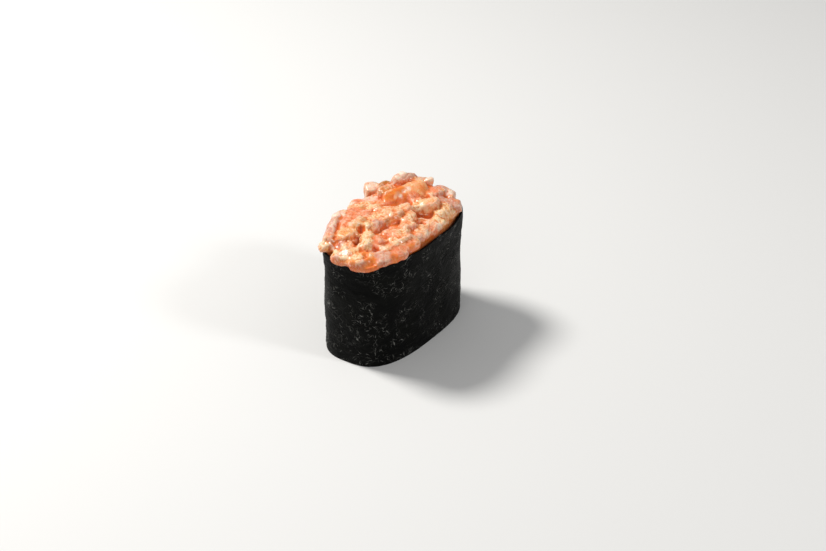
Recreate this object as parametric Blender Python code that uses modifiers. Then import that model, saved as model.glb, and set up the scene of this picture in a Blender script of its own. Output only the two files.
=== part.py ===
"""Salmon gunkan sushi: a standing band of nori round a block of rice, heaped with chopped salmon in sauce.

The origin is the middle of the underside, on the surface that the sushi stands on.
+X runs along the oval towards its broader end, and +Z is up.
"""

import math
import random

import bmesh
import bpy
from mathutils import Euler, Matrix, Vector, noise

MM = 0.001
SLIVER = 0.02  # faces thinner than this, which Booleans leave, are closed up

# The oval that the band's outer face follows, in millimetres, as are all the lengths below.
HALF_LENGTH = 24.6
HALF_WIDTH = 15.1
SQUARENESS = 2.9  # exponent of the superellipse: 2 is an ellipse
EGG = 0.10  # the +X end is broader by this share, and the -X end narrower

# The nori: a strip cut from a sheet, a sixth of its 210 mm side high.
BAND_HEIGHT = 35.0
NORI_THICKNESS = 0.5
LAP_LENGTH = 14.0
LAP_RAMP = 5.0  # length over which the outer layer climbs onto the inner one
LAP_AIR = 0.15  # air left between the two layers
LAP_MIDDLE = 0.30  # where the lap lies, as a share of the way round from +X through +Y
CRINKLE = 0.4  # how far the folds in the wall stand out or in
CRINKLE_SCALE = 9.0
CRINKLE_SEED = Vector((3.1, 7.7, 1.3))
CRINKLE_STRETCH = 0.7  # the folds are longer up the wall than round it
RIM_WAVE = 0.42
RIM_WAVE_SCALE = 7.0
RIM_WAVE_SEED = Vector((0.0, 0.0, 5.5))
FLARE = 0.35  # how far the rim leans out
FLARE_HEIGHT = 8.0
STRAIGHT_HEIGHT = 1.5  # the wall is straight up to here, so that it stands on a flat edge
CALM_HEIGHT = 8.0  # and has its full folds and flare this much higher
NORI_COLUMNS = 92
NORI_ROWS = 6

# The rice block and the heap on it.
GAP = 0.3
WALL_INSET = 1.15  # from the band's outer face to what the band holds
RICE_TOP = 27.0
RICE_FLOOR = 0.5  # the block between the lowest grains
RICE_SIDES = 44
RICE_CHAMFER = (0.6, 0.8)  # of the block's lower edge: inwards and up
GRAIN = (5.4, 2.7, 2.3)
GRAIN_SPACING = 3.3
GRAIN_SEED = 21
GRAIN_TILT_SEED = 8
HEAP_FLOOR = RICE_TOP + GAP
HEAP_RIM = 35.4
HEAP_RISE = 4.2
PEAKS = ((15.0, 4.5, 6.0, 2.9), (-12.0, 9.0, 4.5, 2.0))  # x, y, spread and height of each
CORE_DEPTH = 1.3  # the core lies this far under the heap's surface
CORE_SIDES = 40
CORE_EDGE = 0.8  # the core's edge lies this far under the band's rim
CORE_RINGS = (0.93, 0.84, 0.72, 0.58, 0.43, 0.28, 0.14)  # as shares of the oval
CUT_DEPTH = 8.0  # how far below the heap's floor the band's clearance reaches
CUT_ROWS = 5
LAP_CUT_COLUMNS = 14

# The large pieces of salmon that lead the heap's form:
# place x, y, z; length, width, height; roll, pitch, yaw in degrees.
LEAD_PIECES = (
    # the tall back of the heap
    ((16.2, 6.4, 40.4), (8.2, 3.8, 5.0), (8, 2, -26)),
    ((18.7, 2.8, 39.2), (7.2, 4.6, 4.8), (-2, 4, -40)),
    ((8.2, 3.6, 38.0), (9.6, 7.6, 5.8), (34, -2, -30)),
    ((12.6, 10.3, 37.4), (5.2, 4.4, 5.0), (6, 8, -24)),
    ((10.0, 13.4, 37.1), (4.6, 4.6, 5.6), (4, 0, -50)),
    ((1.3, 13.0, 36.0), (6.4, 4.6, 4.6), (0, -6, -2)),
    # the shoulder at the narrow end
    ((-13.9, 10.8, 36.4), (15.6, 4.5, 6.2), (16, -4, 21)),
    ((-7.6, 12.6, 36.7), (5.8, 4.0, 4.2), (0, 6, 10)),
    ((-8.8, 8.6, 37.2), (8.4, 5.4, 4.6), (-12, 6, 2)),
    ((-21.5, 8.3, 35.8), (4.8, 3.4, 3.2), (0, 10, -39)),
    # the middle
    ((-0.8, 0.4, 37.5), (10.6, 8.6, 5.8), (-8, -4, -24)),
    ((-5.0, 5.6, 37.4), (7.4, 6.4, 4.8), (0, 6, 10)),
    ((4.6, 9.8, 36.5), (7.0, 6.0, 4.6), (8, 4, -30)),
    ((7.3, -0.6, 36.9), (7.4, 5.4, 4.4), (0, -8, -40)),
    ((1.4, -5.5, 37.6), (6.2, 5.0, 4.2), (-10, 0, 15)),
    ((9.7, -5.9, 37.9), (8.2, 6.0, 5.2), (-4, -4, -45)),
    ((17.6, -3.8, 37.6), (7.4, 5.8, 4.8), (-6, 6, -11)),
    ((-5.8, -4.2, 36.3), (6.8, 5.2, 4.2), (-6, 4, -39)),
    ((-13.0, -0.4, 36.7), (12.4, 3.8, 4.8), (0, 4, 33)),
    ((-14.6, 5.0, 36.7), (9.8, 6.4, 5.6), (-4, 6, -24)),
    ((-3.8, -7.9, 37.2), (8.0, 5.0, 4.4), (-12, -4, -5)),
    ((-1.5, -11.2, 36.1), (7.0, 4.6, 4.0), (-10, 0, 5)),
    ((-11.0, -8.9, 36.8), (10.4, 5.0, 4.6), (-10, -6, -18)),
    ((5.4, -8.6, 35.0), (4.6, 3.4, 3.2), (0, 10, -11)),
    ((11.6, -10.4, 36.5), (7.6, 6.0, 4.8), (-10, 4, 6)),
    # the edge, which hangs over the band at the narrow end
    ((20.4, -5.6, 36.9), (7.2, 5.0, 4.6), (0, 8, -80)),
    ((16.8, -10.4, 36.0), (6.6, 5.2, 4.8), (0, 6, -50)),
    ((-22.3, 0.0, 35.4), (9.4, 6.0, 4.6), (8, 0, -84)),
    ((-22.2, -4.8, 35.5), (7.6, 5.4, 4.6), (8, 0, -62)),
    ((-18.6, -9.4, 35.6), (5.8, 5.2, 4.6), (8, 0, -34)),
    ((-13.9, -11.5, 35.9), (5.6, 4.8, 4.4), (8, 0, -18)),
    ((-8.8, -11.9, 36.1), (7.6, 4.4, 3.8), (8, 0, -12)),
    ((-3.2, -11.9, 35.8), (7.6, 4.0, 3.8), (8, 0, -2)),
    ((2.8, -11.9, 35.6), (7.4, 4.2, 3.8), (8, 0, 1)),
    ((8.8, -11.8, 35.7), (7.0, 4.2, 3.8), (8, 0, 4)),
    ((13.8, -11.4, 35.7), (6.2, 4.2, 3.8), (8, 0, 14)),
    # one more of the tall back, one of the middle and two of the edge
    ((13.9, 1.3, 39.1), (8.6, 8.0, 5.6), (30, -4, -30)),
    ((-14.0, -4.2, 36.7), (5.4, 4.6, 4.2), (0, 0, 20)),
    ((-21.7, -7.3, 35.0), (4.6, 4.6, 3.6), (8, 0, -52)),
    ((-16.3, -10.9, 35.1), (4.4, 4.6, 3.6), (8, 0, -28)),
)

# The tall pieces, by number: they lean over from the footing that LEAD_PIECES gives them.
LEANING_PIECES = {
    0: ((16.6, 6.2, 40.0), (8.0, 3.6, 4.8), (8, 10, -26)),
    1: ((19.6, 2.0, 38.4), (6.2, 4.4, 4.4), (-2, 6, -40)),
    2: ((8.9, 2.9, 38.0), (10.0, 7.6, 5.8), (34, -2, -30)),
    36: ((13.5, 0.5, 38.6), (8.8, 8.0, 5.8), (32, -4, -30)),
}

# The smaller pieces, which fill in between the large ones and along the wall.
FILL_SPOTS = 120
FILL_CLEARANCE = 3.5  # from a large piece's middle, so that the fill pieces stay between them
FILL_REACH = 0.82  # share of the oval that they cover
EDGE_PIECES = 22
EDGE_INSET = (2.3, 3.3)
EDGE_CLEARANCE = 4.2
SMALLEST_PIECE = (4.2, 3.2, 2.6)
LARGEST_PIECE = (7.0, 4.8, 3.8)
FILL_SEED = 5
EDGE_SEED = 13

# The form of one piece: a block, drawn towards a ball and made uneven.
PIECE_BALL = 1.22  # the ball's radius, where the block reaches 1 each way
PIECE_ROUNDNESS = 0.62
PIECE_UNEVENNESS = 0.22
PIECE_NOISE_SCALE = 0.8
PIECE_NOISE_SHIFTS = (Vector((9.3, -1.5, -8.0)), Vector((0.0, 0.0, 0.0)), Vector((6.3, 0.2, -2.7)))

# The base colour and the roughness of each node.
MATERIALS = {
    "nori": ((0.006, 0.007, 0.005), 0.55),
    "rice": ((0.82, 0.79, 0.70), 0.45),
    "topping": ((0.80, 0.33, 0.15), 0.35),
}


def oval_radius(turn):
    """Distance from the middle to the band's outer face, in the direction turn."""
    along = abs(math.cos(turn) / HALF_LENGTH) ** SQUARENESS
    across = abs(math.sin(turn) / HALF_WIDTH) ** SQUARENESS
    return (along + across) ** (-1.0 / SQUARENESS)


def oval_point(turn):
    radius = oval_radius(turn)
    x = radius * math.cos(turn)
    return Vector((x, radius * math.sin(turn) * (1.0 + EGG * x / HALF_LENGTH), 0.0))


class Outline:
    """The oval by distance along it, from +X through +Y."""

    STEPS = 720

    def __init__(self):
        self.points = [oval_point(2.0 * math.pi * i / self.STEPS) for i in range(self.STEPS + 1)]
        self.lengths = [0.0]
        for before, after in zip(self.points, self.points[1:]):
            self.lengths.append(self.lengths[-1] + (after - before).length)
        self.around = self.lengths[-1]

    def place(self, distance):
        """The point on the oval at a distance, and the outward direction there."""
        distance = distance % self.around
        low, high = 0, self.STEPS
        while high - low > 1:
            middle = (low + high) // 2
            if self.lengths[middle] <= distance:
                low = middle
            else:
                high = middle
        start, end = self.points[low], self.points[high]
        share = (distance - self.lengths[low]) / (self.lengths[high] - self.lengths[low])
        before = self.points[(low - 3) % self.STEPS]
        after = self.points[(high + 3) % self.STEPS]
        run = (after - before).normalized()
        return start.lerp(end, share), Vector((run.y, -run.x, 0.0))

    def inset(self, distance, depth):
        point, outward = self.place(distance)
        return point - outward * depth


OUTLINE = Outline()
LAP_START = LAP_MIDDLE * OUTLINE.around - LAP_LENGTH / 2.0


def smooth(share):
    share = min(max(share, 0.0), 1.0)
    return share * share * (3.0 - 2.0 * share)


def oval_share(x, y):
    """0 in the middle of the oval, 1 at its edge."""
    half_width = HALF_WIDTH * (1.0 + EGG * x / HALF_LENGTH)
    return (abs(x / HALF_LENGTH) ** SQUARENESS + abs(y / half_width) ** SQUARENESS) ** (1.0 / SQUARENESS)


def heap_height(x, y):
    """Height of the heap's general surface, which the pieces of salmon break up."""
    edge = min(oval_share(x, y), 1.2)
    height = HEAP_RIM + HEAP_RISE * (1.0 - edge ** 3)
    for peak_x, peak_y, spread, rise in PEAKS:
        height += rise * math.exp(-((x - peak_x) ** 2 + (y - peak_y) ** 2) / (2.0 * spread ** 2))
    return height


def material(name):
    colour, roughness = MATERIALS[name]
    new = bpy.data.materials.new(name)
    new.use_nodes = True
    shader = new.node_tree.nodes["Principled BSDF"]
    shader.inputs["Base Color"].default_value = (*colour, 1.0)
    shader.inputs["Roughness"].default_value = roughness
    shader.inputs["Metallic"].default_value = 0.0
    new.diffuse_color = (*colour, 1.0)
    return new


def new_object(name, mesh, collection):
    body = bpy.data.objects.new(name, mesh)
    collection.objects.link(body)
    return body


def mesh_from(name, shape):
    """A mesh from a bmesh in millimetres, with its faces turned outwards."""
    bmesh.ops.recalc_face_normals(shape, faces=shape.faces)
    bmesh.ops.scale(shape, vec=(MM, MM, MM), verts=shape.verts)
    mesh = bpy.data.meshes.new(name)
    shape.to_mesh(mesh)
    shape.free()
    return mesh


def evaluated_mesh(body):
    bpy.context.view_layer.update()
    graph = bpy.context.evaluated_depsgraph_get()
    return bpy.data.meshes.new_from_object(body.evaluated_get(graph))


def apply_modifiers(body):
    mesh = evaluated_mesh(body)
    body.modifiers.clear()
    old = body.data
    body.data = mesh
    bpy.data.meshes.remove(old)


def join_with(body, others, operation):
    """One Boolean of body with a list of objects, applied. The objects are removed."""
    group = bpy.data.collections.new(body.name + "_" + operation.lower())
    for other in others:
        group.objects.link(other)
    boolean = body.modifiers.new(operation.title(), "BOOLEAN")
    boolean.operation = operation
    boolean.operand_type = "COLLECTION"
    boolean.collection = group
    boolean.solver = "EXACT"
    apply_modifiers(body)
    for other in others:
        bpy.data.objects.remove(other)
    bpy.data.collections.remove(group)


def keep_largest_body(body):
    """Removes the slivers, the loose scraps and the sealed hollows that a Boolean leaves."""
    shape = bmesh.new()
    shape.from_mesh(body.data)
    bmesh.ops.triangulate(shape, faces=shape.faces)
    bmesh.ops.remove_doubles(shape, verts=shape.verts, dist=SLIVER * MM)
    bmesh.ops.dissolve_degenerate(shape, edges=shape.edges, dist=SLIVER * MM)
    bmesh.ops.triangulate(shape, faces=shape.faces)
    unseen = set(shape.faces)
    islands = []
    while unseen:
        island = {unseen.pop()}
        front = list(island)
        while front:
            for edge in front.pop().edges:
                for face in edge.link_faces if edge.is_manifold else ():
                    if face in unseen:
                        unseen.remove(face)
                        island.add(face)
                        front.append(face)
        islands.append(island)
    largest = max(islands, key=len)
    bmesh.ops.delete(shape, geom=[face for face in shape.faces if face not in largest], context="FACES")
    shape.to_mesh(body.data)
    shape.free()


# ---- the band of nori ----


def crinkle(point, height):
    """How far the band's wall stands out at a point of the oval, from its folds and its flare."""
    spot = Vector((point.x, point.y, height * CRINKLE_STRETCH)) / CRINKLE_SCALE
    fold = CRINKLE * noise.noise(spot + CRINKLE_SEED)
    flare = FLARE * smooth((height - BAND_HEIGHT + FLARE_HEIGHT) / FLARE_HEIGHT)
    return (fold + flare) * smooth((height - STRAIGHT_HEIGHT) / CALM_HEIGHT)


def rim_height(point):
    wave = noise.noise(Vector((point.x, point.y, 0.0)) / RIM_WAVE_SCALE + RIM_WAVE_SEED)
    return BAND_HEIGHT + RIM_WAVE * wave


def lap_lift(distance):
    """How far the strip has climbed at a distance from its inner end."""
    climbed = smooth((distance - (OUTLINE.around - LAP_RAMP)) / LAP_RAMP)
    return climbed * (NORI_THICKNESS + LAP_AIR)


def wall_point(distance, height, lift):
    """The middle of the nori's thickness at a distance along the band and a height."""
    point, outward = OUTLINE.place(LAP_START + distance)
    offset = lift - NORI_THICKNESS / 2.0 + crinkle(point, height)
    return point + outward * offset + Vector((0.0, 0.0, height))


def wall_sheet(name, start, end, columns, rows, lifts, thickness, low, over, closed, collection):
    """A sheet of the band's wall from start to end, as a grid with the Solidify modifier."""
    shape = bmesh.new()
    grid = []
    for column in range(columns if closed else columns + 1):
        distance = start + (end - start) * column / columns
        point, _ = OUTLINE.place(LAP_START + distance)
        top = rim_height(point) + over
        line = [shape.verts.new(wall_point(distance, low + (top - low) * row / rows, lifts(distance)))
                for row in range(rows + 1)]
        grid.append(line)
    pairs = list(zip(grid, grid[1:]))
    if closed:
        pairs.append((grid[-1], grid[0]))
    for left, right in pairs:
        for row in range(rows):
            shape.faces.new((left[row], right[row], right[row + 1], left[row + 1]))
    bmesh.ops.scale(shape, vec=(MM, MM, MM), verts=shape.verts)
    mesh = bpy.data.meshes.new(name)
    shape.to_mesh(mesh)
    shape.free()
    sheet = new_object(name, mesh, collection)
    solidify = sheet.modifiers.new("Thickness", "SOLIDIFY")
    solidify.thickness = thickness * MM
    solidify.offset = 0.0
    return sheet


def make_nori(collection):
    strip = OUTLINE.around + LAP_LENGTH
    nori = wall_sheet("nori", 0.0, strip, NORI_COLUMNS, NORI_ROWS, lap_lift,
                      NORI_THICKNESS, 0.0, 0.0, False, collection)
    apply_modifiers(nori)
    nori.data.shade_smooth()
    return nori


def band_clearances(collection):
    """Thicker copies of the band and of its lap, which keep the heap clear of the nori."""
    thickness = NORI_THICKNESS + 2.0 * GAP
    low = HEAP_FLOOR - CUT_DEPTH
    ring = wall_sheet("band_clearance", 0.0, OUTLINE.around, NORI_COLUMNS, CUT_ROWS, lambda distance: 0.0,
                      thickness, low, GAP, True, collection)
    lap_start = OUTLINE.around - LAP_RAMP - 1.0
    lap_end = OUTLINE.around + LAP_LENGTH + GAP
    lap = wall_sheet("lap_clearance", lap_start, lap_end, LAP_CUT_COLUMNS, CUT_ROWS, lap_lift,
                     thickness, low, GAP, False, collection)
    for cutter in (ring, lap):
        cutter.hide_render = True
        cutter.display_type = "WIRE"
        apply_modifiers(cutter)
    return [ring, lap]


# ---- the rice ----


def lofted_block(name, rings, top_point, collection):
    """A closed body through rings of points, with a flat bottom and a top of triangles or a flat one."""
    shape = bmesh.new()
    loops = [[shape.verts.new(point) for point in ring] for ring in rings]
    count = len(loops[0])
    for lower, upper in zip(loops, loops[1:]):
        for i in range(count):
            j = (i + 1) % count
            shape.faces.new((lower[i], lower[j], upper[j], upper[i]))
    shape.faces.new(reversed(loops[0]))
    if top_point is None:
        shape.faces.new(loops[-1])
    else:
        tip = shape.verts.new(top_point)
        for i in range(count):
            shape.faces.new((loops[-1][i], loops[-1][(i + 1) % count], tip))
    return new_object(name, mesh_from(name, shape), collection)


def ring_at(height, inset, count):
    ring = []
    for i in range(count):
        point = OUTLINE.inset(OUTLINE.around * i / count, inset)
        ring.append(Vector((point.x, point.y, height)))
    return ring


def grain(number, x, y, z, yaw, tilt, collection):
    shape = bmesh.new()
    bmesh.ops.create_uvsphere(shape, u_segments=6, v_segments=4, radius=1.0)
    along = Matrix.Rotation(math.radians(90.0), 4, "Y")
    size = Matrix.Diagonal((GRAIN[0] / 2.0, GRAIN[1] / 2.0, GRAIN[2] / 2.0, 1.0))
    turn = Euler((0.0, math.radians(tilt), math.radians(yaw))).to_matrix().to_4x4()
    bmesh.ops.transform(shape, matrix=Matrix.Translation((x, y, z)) @ turn @ size @ along, verts=shape.verts)
    return new_object(f"grain_{number}", mesh_from("grain", shape), collection)


def grain_places():
    """Spots and directions for the grains of the underside: staggered rows, shaken a little.

    The first is in the middle, and those beside the wall lie along it.
    """
    draw = random.Random(GRAIN_SEED)
    places = [(0.0, 0.0, 0.0)]
    rows = int(HALF_WIDTH / GRAIN_SPACING) + 1
    columns = int(HALF_LENGTH / GRAIN_SPACING) + 1
    for row in range(-rows, rows + 1):
        for column in range(-columns, columns + 1):
            x = (column + 0.5 * (row % 2)) * GRAIN_SPACING * 1.12 + draw.uniform(-0.7, 0.7)
            y = row * GRAIN_SPACING * 0.92 + draw.uniform(-0.6, 0.6)
            yaw = draw.uniform(0.0, 180.0)
            from_middle = math.hypot(x, y)
            to_wall = from_middle / max(oval_share(x, y), 0.01) - from_middle - WALL_INSET
            if to_wall < GRAIN[0] / 2.0 + 0.4:
                turn = math.atan2(y, x)
                run = oval_point(turn + 0.05) - oval_point(turn - 0.05)
                yaw = math.degrees(math.atan2(run.y, run.x)) + draw.uniform(-12.0, 12.0)
            if to_wall > GRAIN[1] / 2.0 + 0.3 and from_middle > GRAIN_SPACING * 0.8:
                places.append((x, y, yaw))
    return places


def make_rice(collection):
    inwards, up = RICE_CHAMFER
    rings = [ring_at(RICE_FLOOR, WALL_INSET + inwards, RICE_SIDES),
             ring_at(RICE_FLOOR + up, WALL_INSET, RICE_SIDES), ring_at(RICE_TOP, WALL_INSET, RICE_SIDES)]
    rice = lofted_block("rice", rings, None, collection)
    draw = random.Random(GRAIN_TILT_SEED)
    grains = []
    for number, (x, y, yaw) in enumerate(grain_places()):
        tilt = 0.0 if number == 0 else draw.uniform(-10.0, 10.0)
        height = 0.7 if number == 0 else draw.uniform(0.6, 0.95)
        grains.append(grain(number, x, y, height, yaw, tilt, collection))
    join_with(rice, grains, "UNION")
    # The grains are cut off flat where they meet the board.
    shape = bmesh.new()
    bmesh.ops.create_cube(shape, size=4.0 * HALF_LENGTH)
    bmesh.ops.translate(shape, vec=(0.0, 0.0, -2.0 * HALF_LENGTH), verts=shape.verts)
    board = new_object("board_cut", mesh_from("board_cut", shape), collection)
    join_with(rice, [board], "DIFFERENCE")
    keep_largest_body(rice)
    return rice


# ---- the heap of salmon ----


def uneven(point):
    """A smooth push in three directions, the same in every run."""
    return Vector([noise.noise(point + shift) for shift in PIECE_NOISE_SHIFTS])


def fish_piece(number, place, size, turn, collection):
    """A soft-edged, uneven block of salmon."""
    shape = bmesh.new()
    bmesh.ops.create_cube(shape, size=2.0)
    bmesh.ops.subdivide_edges(shape, edges=shape.edges, cuts=2, use_grid_fill=True)
    half = Vector(size) / 2.0
    seed = Vector((number * 3.71, number * 1.93, number * 5.17))
    for vertex in shape.verts:
        ball = vertex.co.normalized() * PIECE_BALL
        soft = vertex.co.lerp(ball, PIECE_ROUNDNESS)
        soft += uneven(soft * PIECE_NOISE_SCALE + seed) * PIECE_UNEVENNESS
        vertex.co = Vector((soft.x * half.x, soft.y * half.y, soft.z * half.z))
    rotation = Euler([math.radians(angle) for angle in turn]).to_matrix().to_4x4()
    bmesh.ops.transform(shape, matrix=Matrix.Translation(place) @ rotation, verts=shape.verts)
    return new_object(f"piece_{number}", mesh_from("piece", shape), collection)


def far_from_lead(x, y, clearance):
    return all(math.hypot(x - place[0], y - place[1]) > clearance for place, _, _ in LEAD_PIECES)


def edge_places():
    """Pieces along the wall where no large piece lies: round the broad end and the back."""
    draw = random.Random(EDGE_SEED)
    spots = []
    for i in range(EDGE_PIECES):
        distance = OUTLINE.around * (i + draw.uniform(-0.15, 0.15)) / EDGE_PIECES
        point, outward = OUTLINE.place(distance)
        spot = point - outward * draw.uniform(*EDGE_INSET)
        size = [draw.uniform(low, high) for low, high in zip(SMALLEST_PIECE, LARGEST_PIECE)]
        along = math.degrees(math.atan2(outward.x, -outward.y))
        turned = (draw.uniform(-10.0, 10.0), draw.uniform(-10.0, 10.0), along + draw.uniform(-25.0, 25.0))
        height = BAND_HEIGHT + draw.uniform(0.0, 0.7)
        if far_from_lead(spot.x, spot.y, EDGE_CLEARANCE):
            spots.append(((spot.x, spot.y, height), size, turned))
    return spots


def fill_places():
    """Spots between the large pieces, spread evenly over the oval like seeds in a sunflower."""
    draw = random.Random(FILL_SEED)
    golden = math.pi * (3.0 - math.sqrt(5.0))
    spots = []
    for i in range(FILL_SPOTS):
        share = FILL_REACH * math.sqrt((i + 0.5) / FILL_SPOTS)
        turn = i * golden
        edge = oval_point(turn)
        x, y = edge.x * share, edge.y * share
        size = [draw.uniform(low, high) for low, high in zip(SMALLEST_PIECE, LARGEST_PIECE)]
        turned = (draw.uniform(-15.0, 15.0), draw.uniform(-15.0, 15.0), draw.uniform(0.0, 180.0))
        z = max(heap_height(x, y) - draw.uniform(0.9, 1.7), BAND_HEIGHT + 0.6)
        if far_from_lead(x, y, FILL_CLEARANCE):
            spots.append(((x, y, z), size, turned))
    return spots


def make_topping(collection):
    rings = [ring_at(HEAP_FLOOR, WALL_INSET, CORE_SIDES),
             ring_at(BAND_HEIGHT - CORE_EDGE, WALL_INSET, CORE_SIDES)]
    for share in CORE_RINGS:
        ring = []
        for i in range(CORE_SIDES):
            point = OUTLINE.place(OUTLINE.around * i / CORE_SIDES)[0] * share
            ring.append(Vector((point.x, point.y, heap_height(point.x, point.y) - CORE_DEPTH)))
        rings.append(ring)
    tip = Vector((0.0, 0.0, heap_height(0.0, 0.0) - CORE_DEPTH))
    topping = lofted_block("topping", rings, tip, collection)
    pieces = []
    lead = [LEANING_PIECES.get(number, piece) for number, piece in enumerate(LEAD_PIECES)]
    for number, (place, size, turn) in enumerate([*lead, *fill_places(), *edge_places()]):
        pieces.append(fish_piece(number, place, size, turn, collection))
    join_with(topping, pieces, "UNION")
    return topping


def main():
    for old in list(bpy.data.objects):
        bpy.data.objects.remove(old)
    scene = bpy.context.scene
    collection = bpy.data.collections.new("salmon_gunkan")
    scene.collection.children.link(collection)
    cutters = bpy.data.collections.new("cutters")
    scene.collection.children.link(cutters)

    bodies = [make_nori(collection), make_rice(collection), make_topping(collection)]
    join_with(bodies[2], band_clearances(cutters), "DIFFERENCE")
    keep_largest_body(bodies[2])
    for body in bodies:
        body.data.materials.clear()
        body.data.materials.append(material(body.name))


main()
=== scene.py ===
"""Salmon gunkan sushi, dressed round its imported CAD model: nori, rice and chopped salmon in sauce."""

import bisect
import math
import random

import bmesh
import bpy
import numpy as np
from mathutils import Euler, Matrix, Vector, noise


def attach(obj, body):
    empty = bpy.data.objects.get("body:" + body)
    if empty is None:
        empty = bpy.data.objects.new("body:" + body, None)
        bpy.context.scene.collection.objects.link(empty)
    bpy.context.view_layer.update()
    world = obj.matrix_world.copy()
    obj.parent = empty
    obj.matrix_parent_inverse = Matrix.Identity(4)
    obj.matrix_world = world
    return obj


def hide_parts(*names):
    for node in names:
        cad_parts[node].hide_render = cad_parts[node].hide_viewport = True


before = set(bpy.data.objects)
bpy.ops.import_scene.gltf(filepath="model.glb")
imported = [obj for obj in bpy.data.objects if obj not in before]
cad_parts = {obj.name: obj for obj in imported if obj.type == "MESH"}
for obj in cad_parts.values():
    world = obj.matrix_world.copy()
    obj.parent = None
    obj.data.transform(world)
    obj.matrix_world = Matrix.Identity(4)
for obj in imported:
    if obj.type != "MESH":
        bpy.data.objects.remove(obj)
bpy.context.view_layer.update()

MM = 0.001

# ---- the CAD's own numbers, in millimetres ----

HALF_LENGTH = 24.6
HALF_WIDTH = 15.1
SQUARENESS = 2.9
EGG = 0.10
BAND_HEIGHT = 35.0
NORI_THICKNESS = 0.5
LAP_LENGTH = 14.0
LAP_RAMP = 5.0
LAP_AIR = 0.15
LAP_MIDDLE = 0.30
CRINKLE = 0.4
CRINKLE_SCALE = 9.0
CRINKLE_SEED = Vector((3.1, 7.7, 1.3))
CRINKLE_STRETCH = 0.7
RIM_WAVE = 0.42
RIM_WAVE_SCALE = 7.0
RIM_WAVE_SEED = Vector((0.0, 0.0, 5.5))
FLARE = 0.35
FLARE_HEIGHT = 8.0
STRAIGHT_HEIGHT = 1.5
CALM_HEIGHT = 8.0
GAP = 0.3
WALL_INSET = 1.15
RICE_TOP = 27.0
RICE_FLOOR = 0.5
GRAIN = (5.4, 2.7, 2.3)
GRAIN_SPACING = 3.3
GRAIN_SEED = 21
GRAIN_TILT_SEED = 8
HEAP_FLOOR = RICE_TOP + GAP
HEAP_RIM = 35.4
HEAP_RISE = 4.2
PEAKS = ((15.0, 4.5, 6.0, 2.9), (-12.0, 9.0, 4.5, 2.0))
CORE_DEPTH = 1.3
CORE_EDGE = 0.8
CORE_RINGS = (0.93, 0.84, 0.72, 0.58, 0.43, 0.28, 0.14)
FILL_SPOTS = 120
FILL_CLEARANCE = 3.5
FILL_REACH = 0.82
EDGE_PIECES = 22
EDGE_INSET = (2.3, 3.3)
EDGE_CLEARANCE = 4.2
SMALLEST_PIECE = (4.2, 3.2, 2.6)
LARGEST_PIECE = (7.0, 4.8, 3.8)
FILL_SEED = 5
EDGE_SEED = 13
CUT_DEPTH = 8.0
PIECE_BALL = 1.22
PIECE_ROUNDNESS = 0.62
PIECE_UNEVENNESS = 0.22
PIECE_NOISE_SCALE = 0.8
PIECE_NOISE_SHIFTS = (Vector((9.3, -1.5, -8.0)), Vector((0.0, 0.0, 0.0)), Vector((6.3, 0.2, -2.7)))

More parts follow.
